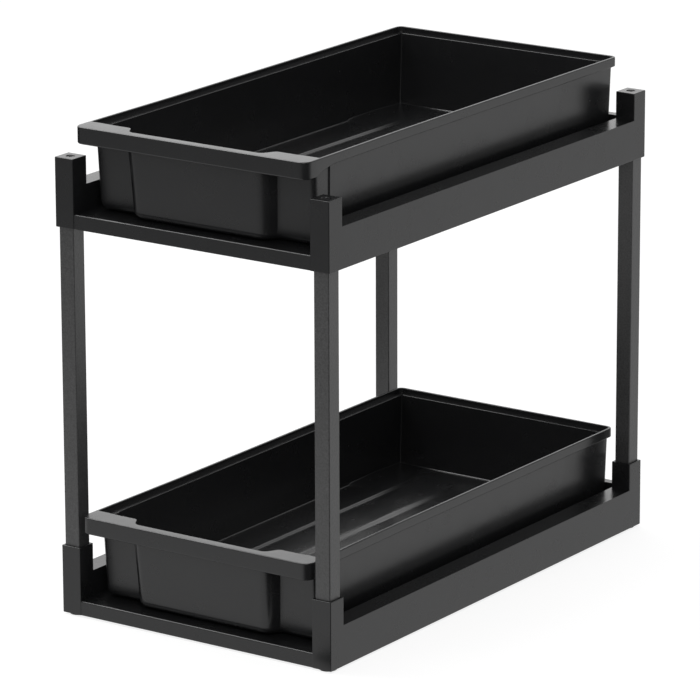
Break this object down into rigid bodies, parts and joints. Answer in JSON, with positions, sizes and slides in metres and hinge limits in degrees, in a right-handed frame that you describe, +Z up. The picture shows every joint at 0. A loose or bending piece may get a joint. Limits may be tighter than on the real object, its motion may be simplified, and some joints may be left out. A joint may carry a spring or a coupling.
{
  "type": "two-tier organizer",
  "caption": "Two-tier sliding organizer: moulded frames on square tube legs, each frame carrying a deep rimmed bin that pulls out at the front.",
  "frame": {"origin": "centre of the whole object's box at the level of the soles of its feet, with both bins pushed in", "axes": "+Z up, the bins pull out towards -Y, +X to the right as seen from the front"},
  "size_m": [0.206, 0.3608, 0.3182],
  "materials": {
    "frame_plastic": "satin moulded plastic, charcoal black",
    "bin_plastic": "fine-textured satin plastic, black",
    "leg_paint": "powder-coated, dark grey with a fine grain",
    "plug_plastic": "matte black",
    "foot_rubber": "matte black",
    "screw_steel": "blackened steel"
  },
  "bodies": {
    "rack": {"lower_frame": "frame_plastic", "upper_frame": "frame_plastic", "front_left_leg": "leg_paint", "front_right_leg": "leg_paint", "back_left_leg": "leg_paint", "back_right_leg": "leg_paint", "front_left_plug": "plug_plastic", "front_right_plug": "plug_plastic", "back_left_plug": "plug_plastic", "back_right_plug": "plug_plastic", "front_left_foot": "foot_rubber", "front_right_foot": "foot_rubber", "back_left_foot": "foot_rubber", "back_right_foot": "foot_rubber", "post_screws": "screw_steel"},
    "lower_bin": {"lower_bin": "bin_plastic"},
    "upper_bin": {"upper_bin": "bin_plastic"}
  },
  "joints": [
    {"name": "lower_bin_slide", "type": "slide", "parent": "rack", "child": "lower_bin", "axis": [0, -1, 0], "range_m": [0, 0.28]},
    {"name": "upper_bin_slide", "type": "slide", "parent": "rack", "child": "upper_bin", "axis": [0, -1, 0], "range_m": [0, 0.28]}
  ]
}
